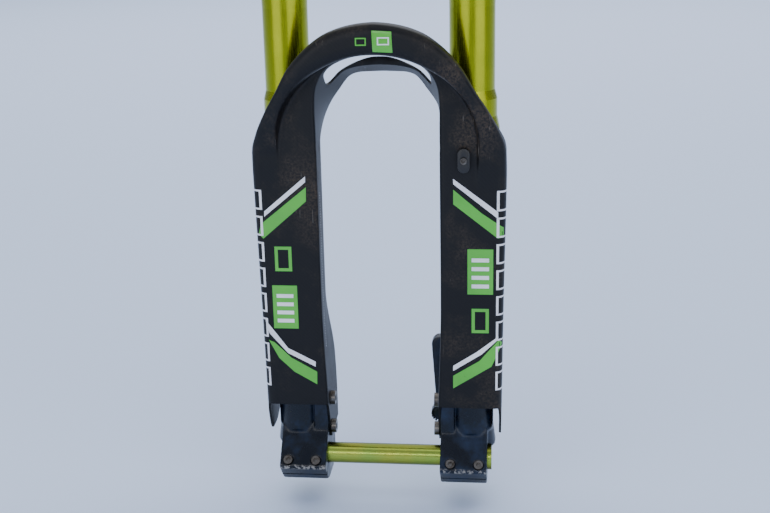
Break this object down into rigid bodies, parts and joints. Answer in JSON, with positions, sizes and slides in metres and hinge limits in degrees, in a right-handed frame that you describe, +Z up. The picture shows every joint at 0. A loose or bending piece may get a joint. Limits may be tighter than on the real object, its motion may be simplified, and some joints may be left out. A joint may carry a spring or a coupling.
{
  "type": "suspension fork",
  "caption": "Upside-down double-crown bicycle suspension fork with slim anodised upper tubes, a one-piece carbon guard and double-bow torsion arch, clamping dropouts and a thru axle.",
  "frame": {"origin": "centre of the crown race seat, on the steerer axis, level with the lower crown's top face", "axes": "+Z up the steerer, -Y towards the front of the bicycle, +X towards the rider's left, the brake side"},
  "size_m": [0.231, 0.12, 0.83],
  "materials": {
    "green_anodised": "polished, yellow-green anodised",
    "carbon": "satin clear coat over moulded carbon fibre",
    "dropout_paint": "black anodised forging, blasted",
    "black_anodised": "black anodised, satin",
    "stanchion_coating": "hard anodised, polished",
    "bolt_steel": "zinc-plated steel, worn",
    "bright_steel": "ground and polished",
    "seal_rubber": "moulded nitrile rubber",
    "bushing_bronze": "coated sintered bronze",
    "plain_alloy": "turned",
    "valve_brass": "turned",
    "black_plastic": "moulded"
  },
  "bodies": {
    "chassis": {"air_cylinder": "plain_alloy", "air_seal_head": "plain_alloy", "air_valve": "valve_brass", "damper_cartridge": "plain_alloy", "damper_seal_head": "plain_alloy", "damper_top_cap": "black_anodised", "frame_bumper_left": "seal_rubber", "frame_bumper_right": "seal_rubber", "lower_bushing_left": "bushing_bronze", "lower_bushing_right": "bushing_bronze", "lower_crown": "black_anodised", "lower_crown_bolts": "bolt_steel", "negative_spring": "bright_steel", "oil_seal_left": "seal_rubber", "oil_seal_right": "seal_rubber", "outer_tube_left": "green_anodised", "outer_tube_right": "green_anodised", "seal_clip_left": "bright_steel", "seal_clip_right": "bright_steel", "spring_top_cap": "black_anodised", "steerer_clamp_bolt": "bolt_steel", "steerer_tube": "black_anodised", "upper_bushing_left": "bushing_bronze", "upper_bushing_right": "bushing_bronze", "upper_crown": "black_anodised", "upper_crown_bolts": "bolt_steel", "valve_cap": "black_plastic", "wiper_seal_left": "seal_rubber", "wiper_seal_right": "seal_rubber"},
    "slider": {"air_piston": "plain_alloy", "damper_piston": "plain_alloy", "damper_shaft": "bright_steel", "dropout_left": "dropout_paint", "dropout_right": "dropout_paint", "foot_bolt_left": "bolt_steel", "foot_bolt_right": "bolt_steel", "guard_bolts_left": "bolt_steel", "guard_bolts_right": "bolt_steel", "hose_guide": "black_plastic", "hose_guide_screw": "bolt_steel", "pinch_bolts_left": "bolt_steel", "pinch_bolts_right": "bolt_steel", "spring_rod": "bright_steel", "stanchion_left": "stanchion_coating", "stanchion_right": "stanchion_coating", "torsion_arch": "carbon"},
    "axle": {"axle": "green_anodised"},
    "high_speed_knob": {"high_speed_knob": "green_anodised"},
    "low_speed_knob": {"low_speed_knob": "black_anodised"},
    "rebound_knob": {"rebound_knob": "green_anodised"},
    "preload_knob": {"preload_knob": "green_anodised"}
  },
  "joints": [
    {"name": "suspension_travel", "type": "slide", "parent": "chassis", "child": "slider", "axis": [0, 0, 1], "range_m": [0, 0.203], "stiffness_N_per_m": 5200, "springref_m": -0.02},
    {"name": "axle_withdrawal", "type": "slide", "parent": "slider", "child": "axle", "axis": [1, 0, 0], "range_m": [0, 0.205]},
    {"name": "high_speed_compression", "type": "hinge", "parent": "chassis", "child": "high_speed_knob", "pos_m": [-0.0845, -0.027, 0], "axis": [0, 0, 1], "range_deg": [0, 290]},
    {"name": "low_speed_compression", "type": "hinge", "parent": "chassis", "child": "low_speed_knob", "pos_m": [-0.0845, -0.027, 0], "axis": [0, 0, 1], "range_deg": [0, 720]},
    {"name": "rebound_adjust", "type": "hinge", "parent": "slider", "child": "rebound_knob", "pos_m": [-0.0845, -0.027, 0], "axis": [0, 0, 1], "range_deg": [0, 720]},
    {"name": "preload_adjust", "type": "hinge", "parent": "slider", "child": "preload_knob", "pos_m": [0.0845, -0.027, 0], "axis": [0, 0, 1], "range_deg": [0, 1080]}
  ]
}
